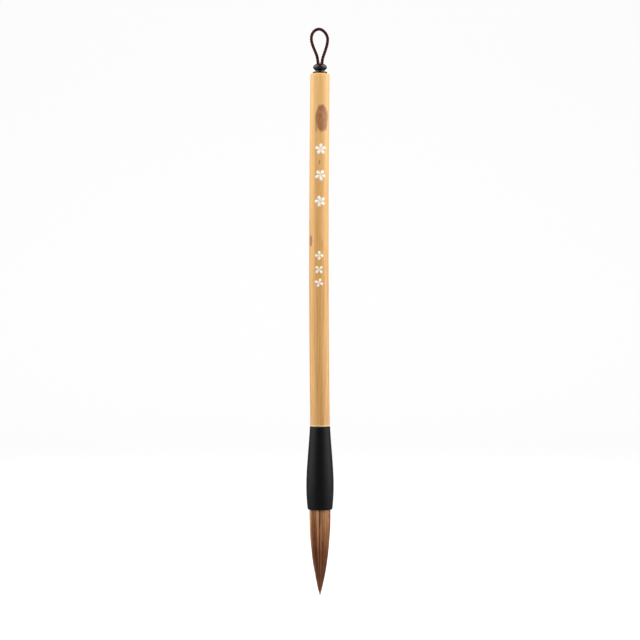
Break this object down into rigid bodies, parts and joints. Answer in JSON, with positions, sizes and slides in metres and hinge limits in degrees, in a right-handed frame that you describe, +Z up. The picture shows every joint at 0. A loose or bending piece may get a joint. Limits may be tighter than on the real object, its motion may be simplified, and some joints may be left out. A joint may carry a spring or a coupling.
{
  "type": "calligraphy brush",
  "caption": "Calligraphy brush with a bamboo handle, a black swelling ferrule, a pointed hair tuft that bends, and a cord loop on a turned finial for hanging it up.",
  "frame": {"origin": "the inside of the top of the hanging loop, where a peg or hook bears, over the brush's axis", "axes": "+Z up along the brush, which hangs tip down; X across the loop; -Y the decorated front of the handle, and the way the loop comes off a peg"},
  "size_m": [0.0124, 0.0124, 0.2551],
  "materials": {
    "bamboo": "smooth natural bamboo skin, thinly lacquered",
    "black_lacquer": "black, satin with fine turning marks",
    "finial_black": "black, polished",
    "pin_black": "black",
    "cord_maroon": "dark maroon round braid",
    "hair_brown": "brown weasel-type hair, fine and glossy",
    "hair_core": "stiffer brown hair ending in a pale point",
    "hair_bound": "hair set in glue",
    "thread": "waxed cotton",
    "resin": "rosin and wax"
  },
  "bodies": {
    "brush": {"handle": "bamboo", "ferrule": "black_lacquer", "end_cap": "finial_black", "cord_bead": "finial_black", "cord_pin": "pin_black", "cord_tails": "cord_maroon", "cord_knot": "cord_maroon", "hair_root": "hair_bound", "root_thread": "thread", "root_seal": "resin"},
    "hair": {"mantle_hair": "hair_brown", "core_hair": "hair_core"},
    "loop": {"hanging_loop": "cord_maroon"}
  },
  "joints": [
    {"name": "hair_bend", "type": "hinge", "parent": "brush", "child": "hair", "pos_m": [0, 0, -0.21842], "axis": [1, 0, 0], "range_deg": [-35, 35], "stiffness_Nm_per_rad": 0.02},
    {"name": "loop_bend", "type": "hinge", "parent": "brush", "child": "loop", "pos_m": [0, 0, -0.0144], "axis": [1, 0, 0], "range_deg": [-90, 90], "stiffness_Nm_per_rad": 0.0002}
  ]
}
